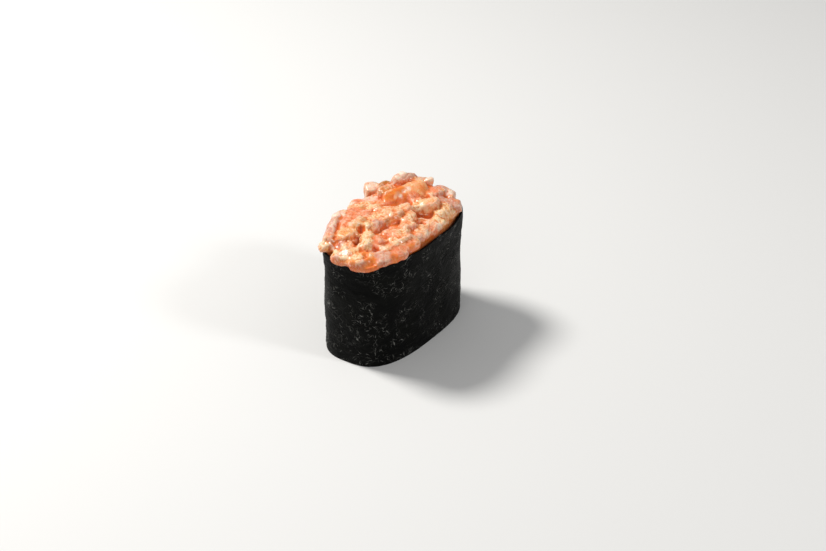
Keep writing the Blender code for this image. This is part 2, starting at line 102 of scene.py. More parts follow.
# The large pieces of salmon: place; length, width, height; roll, pitch, yaw; look.
LEAD_PIECES = (
    # the tall back of the heap
    ((16.2, 6.4, 40.4), (8.2, 3.8, 5.0), (8, 2, -26), "lilac"),
    ((18.7, 2.8, 39.2), (7.2, 4.6, 4.8), (-2, 4, -40), "pale"),
    ((8.2, 3.6, 38.0), (9.6, 7.6, 5.8), (34, -2, -30), "orange"),
    ((12.6, 10.3, 37.4), (5.2, 4.4, 5.0), (6, 8, -24), "golden"),
    ((10.0, 13.4, 37.1), (4.6, 4.6, 5.6), (4, 0, -50), "ivory"),
    ((1.3, 13.0, 36.0), (6.4, 4.6, 4.6), (0, -6, -2), "pink"),
    # the shoulder at the narrow end
    ((-13.9, 10.8, 36.4), (15.6, 4.5, 6.2), (16, -4, 21), "lilac"),
    ((-7.6, 12.6, 36.7), (5.8, 4.0, 4.2), (0, 6, 10), "white"),
    ((-8.8, 8.6, 37.2), (8.4, 5.4, 4.6), (-12, 6, 2), "pink"),
    ((-21.5, 8.3, 35.8), (4.8, 3.4, 3.2), (0, 10, -39), "cream"),
    # the middle
    ((-0.8, 0.4, 37.5), (10.6, 8.6, 5.8), (-8, -4, -24), "peach"),
    ((-5.0, 5.6, 37.4), (7.4, 6.4, 4.8), (0, 6, 10), "blush"),
    ((4.6, 9.8, 36.5), (7.0, 6.0, 4.6), (8, 4, -30), "pink"),
    ((7.3, -0.6, 36.9), (7.4, 5.4, 4.4), (0, -8, -40), "peach"),
    ((1.4, -5.5, 37.6), (6.2, 5.0, 4.2), (-10, 0, 15), "peach"),
    ((9.7, -5.9, 37.9), (8.2, 6.0, 5.2), (-4, -4, -45), "honey"),
    ((17.6, -3.8, 37.6), (7.4, 5.8, 4.8), (-6, 6, -11), "pink"),
    ((-5.8, -4.2, 36.3), (6.8, 5.2, 4.2), (-6, 4, -39), "pink"),
    ((-13.0, -0.4, 36.7), (12.4, 3.8, 4.8), (0, 4, 33), "cream"),
    ((-14.6, 5.0, 36.7), (9.8, 6.4, 5.6), (-4, 6, -24), "amber"),
    ((-3.8, -7.9, 37.2), (8.0, 5.0, 4.4), (-12, -4, -5), "peach"),
    ((-1.5, -11.2, 36.1), (7.0, 4.6, 4.0), (-10, 0, 5), "peach"),
    ((-11.0, -8.9, 36.8), (10.4, 5.0, 4.6), (-10, -6, -18), "peach"),
    # a low piece in the hollow below the honey piece; its dark look is painted shade
    ((5.4, -8.6, 35.0), (4.6, 3.4, 3.2), (0, 10, -11), "crevice_shade"),
    ((11.6, -10.4, 36.5), (7.6, 6.0, 4.8), (-10, 4, 6), "cream"),
    # the edge, which hangs over the band at the narrow end
    ((20.4, -5.6, 36.9), (7.2, 5.0, 4.6), (0, 8, -80), "lilac"),
    ((16.8, -10.4, 36.0), (6.6, 5.2, 4.8), (0, 6, -50), "lilac"),
    ((-22.3, 0.0, 35.4), (9.4, 6.0, 4.6), (8, 0, -84), "cream"),
    ((-22.2, -4.8, 35.5), (7.6, 5.4, 4.6), (8, 0, -62), "cream"),
    ((-18.6, -9.4, 35.6), (5.8, 5.2, 4.6), (8, 0, -34), "lilac"),
    ((-13.9, -11.5, 35.9), (5.6, 4.8, 4.4), (8, 0, -18), "pink"),
    ((-8.8, -11.9, 36.1), (7.6, 4.4, 3.8), (8, 0, -12), "blush"),
    ((-3.2, -11.9, 35.8), (7.6, 4.0, 3.8), (8, 0, -2), "blush"),
    ((2.8, -11.9, 35.6), (7.4, 4.2, 3.8), (8, 0, 1), "blush"),
    ((8.8, -11.8, 35.7), (7.0, 4.2, 3.8), (8, 0, 4), "cream"),
    ((13.8, -11.4, 35.7), (6.2, 4.2, 3.8), (8, 0, 14), "cream"),
    # one more of the tall back, one of the middle and two of the edge
    # the lighter facet of the orange wedge: its look is a painted highlight
    ((13.9, 1.3, 39.1), (8.6, 8.0, 5.6), (30, -4, -30), "highlit_orange"),
    ((-14.0, -4.2, 36.7), (5.4, 4.6, 4.2), (0, 0, 20), "pink"),
    ((-21.7, -7.3, 35.0), (4.6, 4.6, 3.6), (8, 0, -52), "orange"),
    ((-16.3, -10.9, 35.1), (4.4, 4.6, 3.6), (8, 0, -28), "orange"),
)

# The tall pieces, by number: they lean over from the footing that LEAD_PIECES gives them.
LEANING_PIECES = {
    0: ((16.6, 6.2, 40.0), (8.0, 3.6, 4.8), (8, 10, -26), "lilac"),
    1: ((19.6, 2.0, 38.4), (6.2, 4.4, 4.4), (-2, 6, -40), "pale"),
    2: ((8.9, 2.9, 38.0), (10.0, 7.6, 5.8), (34, -2, -30), "orange"),
    # the wedge's lighter facet, whose look is a painted highlight
    36: ((13.5, 0.5, 38.6), (8.8, 8.0, 5.8), (32, -4, -30), "highlit_orange"),
}

# Small bits that lie on the others.
BITS = (
    ((17.0, 6.5, 41.6), (3.4, 2.4, 2.6), (0, 28, -26), "white"),
    ((20.8, -0.4, 40.2), (2.6, 2.2, 2.4), (0, 0, -40), "white"),
)

# What a piece looks like: colour; then, from 0 to 1, how much it shows cut flesh, how much sauce covers it
# and how granular it is.
LOOKS = {
    "orange": ((0.86, 0.26, 0.040), 1.0, 0.00, 0.0),
    # painted highlight: a lighter copy of the orange flesh, for the wedge's facet that faces the light
    "highlit_orange": ((0.95, 0.42, 0.160), 0.9, 0.35, 0.0),
    "honey": ((0.95, 0.48, 0.190), 0.5, 0.60, 0.1),
    # darker flesh, also used as painted shade under the pieces
    "golden": ((0.50, 0.20, 0.030), 0.6, 0.00, 0.0),
    "amber": ((0.90, 0.40, 0.110), 0.3, 0.45, 0.8),
    # painted shade: the dark red-brown of the hollows between the pieces
    "crevice_shade": ((0.44, 0.065, 0.006), 0.5, 0.00, 0.1),
    "pink": ((0.87, 0.29, 0.130), 0.6, 0.20, 0.2),
    "blush": ((0.89, 0.36, 0.200), 0.5, 0.45, 0.3),
    "lilac": ((0.67, 0.36, 0.270), 0.6, 0.25, 0.2),
    "pale": ((0.78, 0.48, 0.320), 0.7, 0.35, 0.0),
    "peach": ((0.92, 0.37, 0.150), 0.3, 0.60, 0.3),
    "cream": ((0.95, 0.56, 0.240), 0.1, 0.75, 0.8),
    "ivory": ((0.80, 0.62, 0.450), 0.7, 0.10, 0.0),
    "white": ((0.96, 0.86, 0.730), 0.6, 0.20, 0.0),
}
FILL_LOOKS = ("peach", "peach", "cream", "pink", "blush", "peach", "lilac", "cream")
FILL_LOOK_SEED = 31
CORE_TRAITS = (0.2, 0.5, 0.6)  # of the core, where it shows between the pieces
LOW_EDGE_SHADE = (0.70, 0.15, 0.010)  # painted shade: dark orange along the heap's lower edge, beside the band and under the overhanging lip

# Hollows between the pieces: place x, y; length, width; yaw; depth.
PITS = (
    ((6.4, -7.2), (4.8, 1.6), -56, 2.6),
    ((2.5, -8.2), (3.2, 2.0), -30, 1.2),
    ((-3.3, -9.8), (1.8, 1.2), 0, 1.0),
    ((-6.6, -2.3), (2.4, 1.4), -30, 1.4),
    ((-12.0, 2.5), (2.8, 1.5), 30, 1.8),
    ((-15.6, 1.6), (3.2, 1.5), 15, 1.6),
    ((-18.5, 0.3), (2.6, 1.3), 25, 1.1),
    ((-21.6, 4.4), (3.4, 1.7), 60, 1.4),
    ((-22.8, -8.2), (2.6, 1.7), -30, 0.8),
    ((-21.7, -5.5), (2.0, 1.2), 40, 0.7),
    ((-13.6, -6.7), (3.2, 1.1), -30, 1.0),
    ((6.4, 0.4), (11.0, 3.4), -34, 1.1),
    ((-15.2, 8.8), (9.0, 1.3), 24, 1.3),
    ((3.6, 12.4), (6.0, 3.0), 0, 0.3),
    ((11.0, 9.6), (3.4, 2.0), 0, 1.2),
)

# Patches of another look: place, radius, look, strength. The dark red-brown patches in the hollows are
# painted shade; the golden ones are partly darker flesh, partly painted shade under the pieces.
SPOTS = (
    (13.6, 6.7, 42.3, 1.4, "white", 0.6), (20.1, -0.9, 41.2, 1.1, "white", 1.0),
    (16.8, 3.5, 40.9, 0.9, "orange", 0.8), (10.0, -1.5, 40.5, 0.8, "crevice_shade", 0.8),
    (12.0, -3.1, 40.1, 0.8, "crevice_shade", 0.7), (9.6, 13.3, 40.0, 1.5, "white", 0.5),
    (7.4, 12.5, 37.8, 0.8, "golden", 0.8), (6.4, 7.7, 41.0, 1.1, "golden", 1.0),
    (8.2, 7.3, 41.5, 1.2, "golden", 0.8), (4.5, 9.3, 38.9, 1.7, "white", 0.8),
    (3.6, 11.6, 38.7, 1.0, "white", 0.7), (5.5, 7.0, 39.1, 1.0, "pink", 0.8),
    (-0.5, 14.3, 38.0, 1.2, "white", 0.9), (-1.5, 8.7, 39.2, 1.1, "golden", 0.8),
    (3.9, 3.6, 39.1, 1.6, "pink", 0.8), (-2.1, 4.9, 39.8, 1.4, "pink", 0.7),
    (0.3, -3.9, 40.6, 1.0, "golden", 0.7), (7.1, -5.3, 39.7, 1.4, "cream", 1.0),
    (8.5, -7.9, 40.5, 1.0, "pink", 0.7), (14.8, -5.6, 40.2, 1.4, "pink", 0.7),
    (17.3, -6.9, 39.4, 1.3, "lilac", 1.0), (20.6, -7.6, 38.8, 1.4, "white", 0.9),
    (12.4, -10.6, 39.1, 1.1, "golden", 0.7), (14.5, -12.2, 38.5, 1.5, "lilac", 0.8),
    (18.6, -11.3, 38.1, 1.2, "orange", 0.8), (4.9, -9.7, 37.1, 1.0, "white", 0.7),
    (-2.5, -9.5, 38.7, 1.0, "crevice_shade", 0.9), (5.2, -13.8, 36.6, 1.2, "white", 0.8),
    (-1.0, -13.7, 37.4, 1.2, "white", 0.7), (-4.8, -13.6, 37.6, 1.4, "lilac", 1.0),
    (0.0, -13.9, 35.2, 1.3, "orange", 0.9), (-10.3, -13.9, 37.5, 1.4, "orange", 0.9),
    (-3.2, -9.0, 39.0, 1.0, "blush", 0.9), (-4.5, -1.9, 39.5, 1.0, "golden", 0.8),
    (-3.4, -3.4, 38.8, 1.4, "orange", 0.8), (-6.0, -1.9, 37.8, 1.0, "crevice_shade", 1.0),
    (-9.1, -6.2, 39.3, 2.0, "pink", 0.9), (-9.2, 3.5, 40.6, 1.1, "golden", 0.9),
    (-12.5, 6.3, 40.0, 1.0, "white", 0.7), (-13.2, 8.4, 39.3, 1.6, "pink", 1.0),
    (-10.7, 5.9, 40.6, 1.6, "pink", 0.8), (-14.7, 10.6, 39.8, 1.2, "white", 0.7),
    (-20.0, 8.6, 39.1, 1.3, "pink", 0.7), (-12.0, 2.8, 37.8, 1.2, "crevice_shade", 1.0),
    (-15.5, 1.9, 37.9, 1.2, "crevice_shade", 1.0), (-18.0, 1.0, 37.3, 1.3, "orange", 1.0),
    (-20.6, 5.2, 37.4, 1.4, "crevice_shade", 1.0), (-22.9, 9.2, 37.5, 1.0, "white", 0.5),
    (-16.2, -5.6, 38.4, 1.5, "pink", 0.9), (-14.7, -7.4, 38.4, 0.8, "golden", 0.9),
    (-21.0, -5.0, 37.7, 1.2, "orange", 1.0), (-23.4, 0.6, 37.6, 1.6, "white", 0.8),
    (-25.5, 2.7, 36.2, 1.4, "lilac", 1.0), (-25.6, -3.5, 37.1, 1.1, "orange", 0.9),
    (-24.6, -6.2, 36.6, 1.5, "lilac", 0.9), (-22.1, -7.9, 36.9, 1.7, "orange", 1.0),
    (-23.9, -8.3, 36.0, 1.0, "crevice_shade", 0.6), (-21.1, -10.8, 36.8, 1.5, "lilac", 0.9),
    (-16.9, -12.6, 36.8, 1.2, "orange", 1.0), (-14.5, -14.1, 37.0, 1.4, "lilac", 0.9),
    (5.8, -5.6, 37.3, 1.0, "crevice_shade", 0.9), (6.7, -7.0, 37.4, 1.0, "crevice_shade", 0.9),
    (7.5, -8.4, 37.5, 0.9, "crevice_shade", 0.9), (1.0, -8.2, 38.3, 0.9, "crevice_shade", 0.8),
    (3.5, -8.4, 36.7, 1.0, "orange", 0.8), (5.5, 2.1, 39.1, 1.0, "crevice_shade", 0.6),
    (8.5, -0.2, 39.1, 0.9, "crevice_shade", 0.7), (7.1, -5.3, 39.7, 1.3, "cream", 0.9),
    (14.5, -2.2, 41.1, 1.4, "orange", 0.7), (11.4, 1.2, 41.8, 0.7, "white", 1.0),
    (9.9, 1.8, 41.3, 0.6, "white", 1.0), (-9.6, 13.1, 39.7, 1.5, "white", 1.0),
    (-9.0, 11.6, 39.6, 1.3, "white", 0.8), (16.1, 6.1, 43.0, 1.2, "white", 0.5),
    (8.0, 1.9, 40.6, 0.6, "white", 1.0), (-25.5, 3.4, 34.7, 1.0, "orange", 0.8),
    (-25.3, 0.7, 34.1, 0.9, "crevice_shade", 0.8), (-25.9, -2.4, 35.0, 1.1, "orange", 0.8),
    (-25.5, -5.0, 35.3, 0.9, "crevice_shade", 0.8), (-24.6, -7.5, 35.7, 1.2, "orange", 0.8),
    (-23.0, -9.6, 36.1, 1.0, "orange", 0.8), (-20.9, -11.3, 36.2, 0.8, "crevice_shade", 0.8),
    (-18.2, -12.6, 36.4, 1.1, "orange", 0.8), (-15.4, -13.8, 36.7, 1.0, "orange", 0.8),
    (-11.0, -13.8, 35.9, 0.8, "crevice_shade", 0.8), (-8.0, -14.7, 36.3, 1.0, "orange", 0.8),
    (-1.9, -13.9, 35.1, 1.0, "orange", 0.8),
)

# The heap's lip hangs over the band from the first of these distances round the oval to the last, and is
# full between the middle two.
LIP_SPAN = (61.0, 64.5, 72.5, 80.0)
LIP_LOW = 33.7
LIP_REACH = 6.0  # how far outside the band nothing but the lip may be

# How fine the meshes are, in millimetres or in steps.
NORI_COLUMNS, NORI_ROWS = ((300, 136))
ROUGH_VOXEL = 0.30
FINE_VOXEL = 0.24
RICE_VOXEL = 0.33
PIECE_CUTS = 6
RING_STEPS = 80
BAND_STEPS = 160
LAP_STEPS = 24
CUT_ROWS = 8

# The nori's own relief, in millimetres.
NORI_MEDIUM = 0.16
NORI_FINE = 0.11
NORI_INSIDE = 0.06  # how much thinner the dressed sheet is, on its inner face

# The salmon's own relief, in millimetres: on cut flesh, and what is added on chopped and sauced flesh.
LUMPS = (0.10, 0.27)
FINE_LUMPS = (0.03, 0.07)
CREASES = (0.06, 0.21)
BEADS = 0.08
FIBRES = 0.05
FAT_RISE = 0.03
FAT_SPACING = 2.3
FAT_WIDTH = 0.42
GRANULE = 0.85
GRANULE_REACH = 0.62  # of a grain's middle, in grain sizes
PIECE_REACH = 1.32  # how far round its middle a piece holds the surface, in half sizes
PIECE_BLEND = 0.30
CUT_SHARPNESS = 0.10  # how much less round cut flesh is
KNOB_SCALE = 2.1  # of the small knobs on a piece
KNOBS = 0.07
WALL_CALM = (0.25, 0.9)  # beside the band: flat up to the first, full relief after the second more


# ---- the band's outline and wall, as in the CAD ----


def oval_radius(turn):
    along = abs(math.cos(turn) / HALF_LENGTH) ** SQUARENESS
    across = abs(math.sin(turn) / HALF_WIDTH) ** SQUARENESS
    return (along + across) ** (-1.0 / SQUARENESS)


def oval_point(turn):
    radius = oval_radius(turn)
    x = radius * math.cos(turn)
    return Vector((x, radius * math.sin(turn) * (1.0 + EGG * x / HALF_LENGTH), 0.0))


class Outline:
    """The oval by distance along it, from +X through +Y."""

    STEPS = 720

    def __init__(self):
        self.points = [oval_point(2.0 * math.pi * i / self.STEPS) for i in range(self.STEPS + 1)]
        self.lengths = [0.0]
        for before, after in zip(self.points, self.points[1:]):
            self.lengths.append(self.lengths[-1] + (after - before).length)
        self.around = self.lengths[-1]

    def place(self, distance):
        """The point on the oval at a distance, and the outward direction there."""
        distance = distance % self.around
        high = bisect.bisect_right(self.lengths, distance, 1, self.STEPS)
        low = high - 1
        start, end = self.points[low], self.points[high]
        share = (distance - self.lengths[low]) / (self.lengths[high] - self.lengths[low])
        run = (self.points[(high + 3) % self.STEPS] - self.points[(low - 3) % self.STEPS]).normalized()
        return start.lerp(end, share), Vector((run.y, -run.x, 0.0))


OUTLINE = Outline()
LAP_START = LAP_MIDDLE * OUTLINE.around - LAP_LENGTH / 2.0


def smooth(share):
    share = min(max(share, 0.0), 1.0)
    return share * share * (3.0 - 2.0 * share)


def smooth_all(values):
    values = np.clip(values, 0.0, 1.0)
    return values * values * (3.0 - 2.0 * values)


def oval_share(x, y):
    half_width = HALF_WIDTH * (1.0 + EGG * x / HALF_LENGTH)
    return (abs(x / HALF_LENGTH) ** SQUARENESS + abs(y / half_width) ** SQUARENESS) ** (1.0 / SQUARENESS)


def heap_height(x, y):
    edge = min(oval_share(x, y), 1.2)
    height = HEAP_RIM + HEAP_RISE * (1.0 - edge ** 3)
    for peak_x, peak_y, spread, rise in PEAKS:
        height += rise * math.exp(-((x - peak_x) ** 2 + (y - peak_y) ** 2) / (2.0 * spread ** 2))
    return height


def crinkle(point, height):
    spot = Vector((point.x, point.y, height * CRINKLE_STRETCH)) / CRINKLE_SCALE
    fold = CRINKLE * noise.noise(spot + CRINKLE_SEED)
    flare = FLARE * smooth((height - BAND_HEIGHT + FLARE_HEIGHT) / FLARE_HEIGHT)
    return (fold + flare) * smooth((height - STRAIGHT_HEIGHT) / CALM_HEIGHT)


def rim_height(point):
    wave = noise.noise(Vector((point.x, point.y, 0.0)) / RIM_WAVE_SCALE + RIM_WAVE_SEED)
    return BAND_HEIGHT + RIM_WAVE * wave


def lap_lift(distance):
    climbed = smooth((distance - (OUTLINE.around - LAP_RAMP)) / LAP_RAMP)
    return climbed * (NORI_THICKNESS + LAP_AIR)


# ---- making meshes ----


def new_object(name, data):
    body = bpy.data.objects.new(name, data)
    bpy.context.scene.collection.objects.link(body)
    return body


def mesh_object(name, points, faces):
    """An object from points in millimetres and faces."""
    mesh = bpy.data.meshes.new(name)
    mesh.from_pydata([Vector(point) * MM for point in points], [], faces)
    mesh.validate()
    return new_object(name, mesh)


def ring_faces(rings):
    """The faces between rings of points, one ring after another."""
    faces, count = [], RING_STEPS
    for ring in range(rings - 1):
        for i in range(count):
            a, b = ring * count + i, ring * count + (i + 1) % count
            faces.append((a, b, b + count, a + count))
    return faces


def inset_ring(inset, height):
    """Points round the oval, moved inwards, at a height."""
    ring = []
    for i in range(RING_STEPS):
        point, outward = OUTLINE.place(OUTLINE.around * i / RING_STEPS)
        ring.append(point - outward * inset + Vector((0.0, 0.0, height)))
    return ring


def add_part(points, faces, own_points, own_faces):
    start = len(points)
    points.extend(own_points)
    faces.extend([start + index for index in face] for face in own_faces)


def apply_modifiers(body):
    bpy.context.view_layer.update()
    graph = bpy.context.evaluated_depsgraph_get()
    mesh = bpy.data.meshes.new_from_object(body.evaluated_get(graph))
    body.modifiers.clear()
    old = body.data
    body.data = mesh
    bpy.data.meshes.remove(old)


def remesh(body, size):
    step = body.modifiers.new("Remesh", "REMESH")
    step.mode = "VOXEL"
    step.voxel_size = size * MM
    apply_modifiers(body)


def cut(body, cutters):
    for cutter in cutters:
        boolean = body.modifiers.new("Cut", "BOOLEAN")
        boolean.operation = "DIFFERENCE"
        boolean.solver = "MANIFOLD"
        boolean.object = cutter
    apply_modifiers(body)
    for cutter in cutters:
        bpy.data.objects.remove(cutter)


def keep_largest_body(body):
    shape = bmesh.new()
    shape.from_mesh(body.data)
    unseen = set(shape.verts)
    largest = set()
    while unseen:
        island = {unseen.pop()}
        front = list(island)
        while front:
            for edge in front.pop().link_edges:
                for vertex in edge.verts:
                    if vertex in unseen:
                        unseen.remove(vertex)
                        island.add(vertex)
                        front.append(vertex)
        if len(island) > len(largest):
            largest = island
    bmesh.ops.delete(shape, geom=[v for v in shape.verts if v not in largest], context="VERTS")
    shape.to_mesh(body.data)
    shape.free()


def points_of(mesh):
    """The vertices' places in millimetres, as an array."""
    flat = np.empty(len(mesh.vertices) * 3)
    mesh.vertices.foreach_get("co", flat)
    return flat.reshape(-1, 3) / MM


def normals_of(mesh):
    flat = np.empty(len(mesh.vertices) * 3)
    mesh.vertex_normals.foreach_get("vector", flat)
    return flat.reshape(-1, 3)


def set_points(mesh, points):
    mesh.vertices.foreach_set("co", (points * MM).ravel())
    mesh.update()


def edges_of(mesh):
    flat = np.empty(len(mesh.edges) * 2, dtype=np.int64)
    mesh.edges.foreach_get("vertices", flat)
    return flat.reshape(-1, 2)


def relaxed(values, edges, rounds):
    """Values at the vertices, each drawn towards the mean of its neighbours."""
    count = len(values)
    start, end = edges[:, 0], edges[:, 1]
    links = np.maximum(np.bincount(start, minlength=count) + np.bincount(end, minlength=count), 1)
    values = values.reshape(count, -1).copy()
    for _ in range(rounds):
        for column in range(values.shape[1]):
            line = values[:, column]
            total = np.bincount(start, weights=line[end], minlength=count)
            total += np.bincount(end, weights=line[start], minlength=count)
            values[:, column] = line + (total / links - line) * 0.5
    return values


def noise_at(points, scale, seed):
    offset = Vector((seed * 7.31, seed * 3.17, seed * 5.83))
    return np.array([noise.noise(Vector(p) + offset) for p in (points / scale).tolist()])


def store(mesh, name, values):
    """Values at the vertices, kept for the material: one number each, or a colour."""
    if values.ndim == 1:
        attribute = mesh.attributes.new(name, "FLOAT", "POINT")
        attribute.data.foreach_set("value", values.astype(np.float32))
    else:
        attribute = mesh.attributes.new(name, "FLOAT_COLOR", "POINT")
        colour = np.concatenate([values, np.ones((len(values), 1))], axis=1)
        attribute.data.foreach_set("color", colour.astype(np.float32).ravel())


# ---- the nori ----


def wall_solid(name, distances, rows, low, over_at, lift_at, outside, inside, relief=None, closed=False):
    """A closed body along the band's wall, from inside to outside of its outer face."""
    points, faces = [], []
    for distance in distances:
        point, outward = OUTLINE.place(LAP_START + distance)
        top = rim_height(point) + over_at(distance)
        for offset in (outside, inside):
            for row in range(rows + 1):
                height = low + (top - low) * row / rows
                out = lift_at(distance) + crinkle(point, height) + offset
                if relief:
                    out += relief(distance, height)
                points.append(point + outward * out + Vector((0.0, 0.0, height)))
    per_side = rows + 1
    per_column = 2 * per_side
    columns = len(distances)
    for column in range(columns if closed else columns - 1):
        a = column * per_column
        b = (column + 1) % columns * per_column
        for row in range(rows):
            faces.append((a + row, b + row, b + row + 1, a + row + 1))
            c, d = a + per_side + row, b + per_side + row
            faces.append((d, c, c + 1, d + 1))
        faces.append((a + rows, b + rows, b + per_side + rows, a + per_side + rows))
        faces.append((b, a, a + per_side, b + per_side))
    if not closed:
        last = (columns - 1) * per_column
        for row in range(rows):
            faces.append((row, row + 1, row + 1 + per_side, row + per_side))
            faces.append((last + row, last + row + per_side, last + row + 1 + per_side, last + row + 1))
    return mesh_object(name, points, faces)


def sheet_relief(along, height):
    """The nori's own surface: soft puckers, and fine ridges that run mostly along the band."""
    warp = noise.noise(Vector((along / 6.0, height / 6.0, 4.0))) * 1.5
    medium = noise.noise(Vector((along / 3.6, (height + warp) / 2.0, 1.7)))
    ridge = 1.0 - abs(noise.noise(Vector((along / 1.7 + warp * 0.4, (height + warp) / 0.62, 8.2)))) * 2.6
    patch = smooth(noise.noise(Vector((along / 5.0, height / 4.0, 12.5))) * 1.4 + 0.5)
    return NORI_MEDIUM * medium + NORI_FINE * max(ridge, 0.0) * (0.25 + 0.75 * patch)


def nori_relief(distance, height):
    """The relief at a place on the strip. Both layers of the lap share it, so they lie on each other."""
    share = smooth((distance - (OUTLINE.around - LAP_RAMP)) / LAP_RAMP)
    value = 0.0
    if share < 1.0:
        value += (1.0 - share) * sheet_relief(distance, height)
    if share > 0.0:
        value += share * sheet_relief(distance - OUTLINE.around, height)
    return value * smooth(height / 1.2) * (1.0 - 0.6 * smooth((height - BAND_HEIGHT + 1.5) / 1.5))


def make_nori():
    strip = OUTLINE.around + LAP_LENGTH
    distances = [strip * column / NORI_COLUMNS for column in range(NORI_COLUMNS + 1)]
    nori = wall_solid("nori_band", distances, NORI_ROWS, 0.0, lambda distance: 0.0, lap_lift,
                      0.0, NORI_INSIDE - NORI_THICKNESS, nori_relief)
    along = np.repeat(distances, 2 * (NORI_ROWS + 1))
    heights = points_of(nori.data)[:, 2]
    store(nori.data, "strip", np.stack([along, heights, np.zeros(len(along))], axis=1) * MM)
    nori.data.shade_smooth()
    return nori


def lip_top(distance):
    """How high above the rim the air outside the band reaches: nothing hangs over it, save the lip."""
    around = (LAP_START + distance) % OUTLINE.around
    start, full, falling, end = LIP_SPAN
    hang = smooth((around - start) / (full - start)) * (1.0 - smooth((around - falling) / (end - falling)))
    return GAP - hang * (BAND_HEIGHT + GAP - LIP_LOW)


def clearances():
    """Bodies a little larger than the band and its lap, which keep the heap clear of the nori."""
    low = HEAP_FLOOR - CUT_DEPTH
    outside, inside = GAP, -NORI_THICKNESS - GAP
    around = OUTLINE.around
    ring = [around * i / BAND_STEPS for i in range(BAND_STEPS)]
    band = wall_solid("band_clearance", ring, CUT_ROWS, low, lambda distance: GAP, lambda distance: 0.0,
                      outside, inside, closed=True)
    outer = wall_solid("outer_clearance", ring, CUT_ROWS, low, lip_top, lambda distance: 0.0,
                       LIP_REACH, inside, closed=True)
    start, end = around - LAP_RAMP - 1.0, around + LAP_LENGTH + GAP
    run = [start + (end - start) * i / LAP_STEPS for i in range(LAP_STEPS + 1)]
    lap = wall_solid("lap_clearance", run, CUT_ROWS, low, lambda distance: GAP, lap_lift, outside, inside)
    return [band, outer, lap]


# ---- the heap of salmon ----


def far_from_lead(x, y, clearance):
    return all(math.hypot(x - lead[0][0], y - lead[0][1]) > clearance for lead in LEAD_PIECES)


def edge_places():
    draw = random.Random(EDGE_SEED)
    spots = []
    for i in range(EDGE_PIECES):
        distance = OUTLINE.around * (i + draw.uniform(-0.15, 0.15)) / EDGE_PIECES
        point, outward = OUTLINE.place(distance)
        spot = point - outward * draw.uniform(*EDGE_INSET)
        size = [draw.uniform(low, high) for low, high in zip(SMALLEST_PIECE, LARGEST_PIECE)]
        along = math.degrees(math.atan2(outward.x, -outward.y))
        turned = (draw.uniform(-10.0, 10.0), draw.uniform(-10.0, 10.0), along + draw.uniform(-25.0, 25.0))
        height = BAND_HEIGHT + draw.uniform(0.0, 0.7)
        if far_from_lead(spot.x, spot.y, EDGE_CLEARANCE):
            spots.append(((spot.x, spot.y, height), size, turned))
    return spots


def fill_places():
    draw = random.Random(FILL_SEED)
    golden = math.pi * (3.0 - math.sqrt(5.0))
    spots = []
    for i in range(FILL_SPOTS):
        share = FILL_REACH * math.sqrt((i + 0.5) / FILL_SPOTS)
        turn = i * golden
        edge = oval_point(turn)
        x, y = edge.x * share, edge.y * share
        size = [draw.uniform(low, high) for low, high in zip(SMALLEST_PIECE, LARGEST_PIECE)]
        turned = (draw.uniform(-15.0, 15.0), draw.uniform(-15.0, 15.0), draw.uniform(0.0, 180.0))
        z = max(heap_height(x, y) - draw.uniform(0.9, 1.7), BAND_HEIGHT + 0.6)
        if far_from_lead(x, y, FILL_CLEARANCE):
            spots.append(((x, y, z), size, turned))
    return spots


def all_pieces():
    """Every piece of the heap, numbered as in the CAD, with what it looks like."""
    draw = random.Random(FILL_LOOK_SEED)
    pieces = [LEANING_PIECES.get(number, piece) for number, piece in enumerate(LEAD_PIECES)]
    for place, size, turn in [*fill_places(), *edge_places()]:
        pieces.append((place, size, turn, draw.choice(FILL_LOOKS)))
    pieces.extend(BITS)
    return pieces


def uneven(point):
    """A smooth push in three directions, the same in every run."""
    return Vector([noise.noise(point + shift) for shift in PIECE_NOISE_SHIFTS])


def piece_points(number, size, roundness):
    """One soft-edged, uneven block of salmon round the origin: its points and faces."""
    shape = bmesh.new()
    bmesh.ops.create_cube(shape, size=2.0)
    bmesh.ops.subdivide_edges(shape, edges=shape.edges, cuts=PIECE_CUTS, use_grid_fill=True)
    half = Vector(size) / 2.0
    seed = Vector((number * 3.71, number * 1.93, number * 5.17))
    points = []
    for vertex in shape.verts:
        ball = vertex.co.normalized() * PIECE_BALL
        soft = vertex.co.lerp(ball, roundness)
        soft += uneven(soft * PIECE_NOISE_SCALE + seed) * PIECE_UNEVENNESS
        soft += uneven(soft * KNOB_SCALE + seed) * KNOBS
        points.append(Vector((soft.x * half.x, soft.y * half.y, soft.z * half.z)))
    faces = [[vertex.index for vertex in face.verts] for face in shape.faces]
    shape.free()
    return points, faces


def core_solid():
    """The heap's core: flat below, and a little under the heap's surface above."""
    count = RING_STEPS
    points = inset_ring(WALL_INSET, HEAP_FLOOR) + inset_ring(WALL_INSET, BAND_HEIGHT - CORE_EDGE)
    for share in CORE_RINGS:
        for i in range(count):
            point = OUTLINE.place(OUTLINE.around * i / count)[0] * share
            points.append(Vector((point.x, point.y, heap_height(point.x, point.y) - CORE_DEPTH)))
    rings = len(points) // count
    points.append(Vector((0.0, 0.0, heap_height(0.0, 0.0) - CORE_DEPTH)))
    faces = ring_faces(rings)
    last = (rings - 1) * count
    for i in range(count):
        faces.append((last + i, last + (i + 1) % count, len(points) - 1))
    faces.append(tuple(reversed(range(count))))
    return points, faces


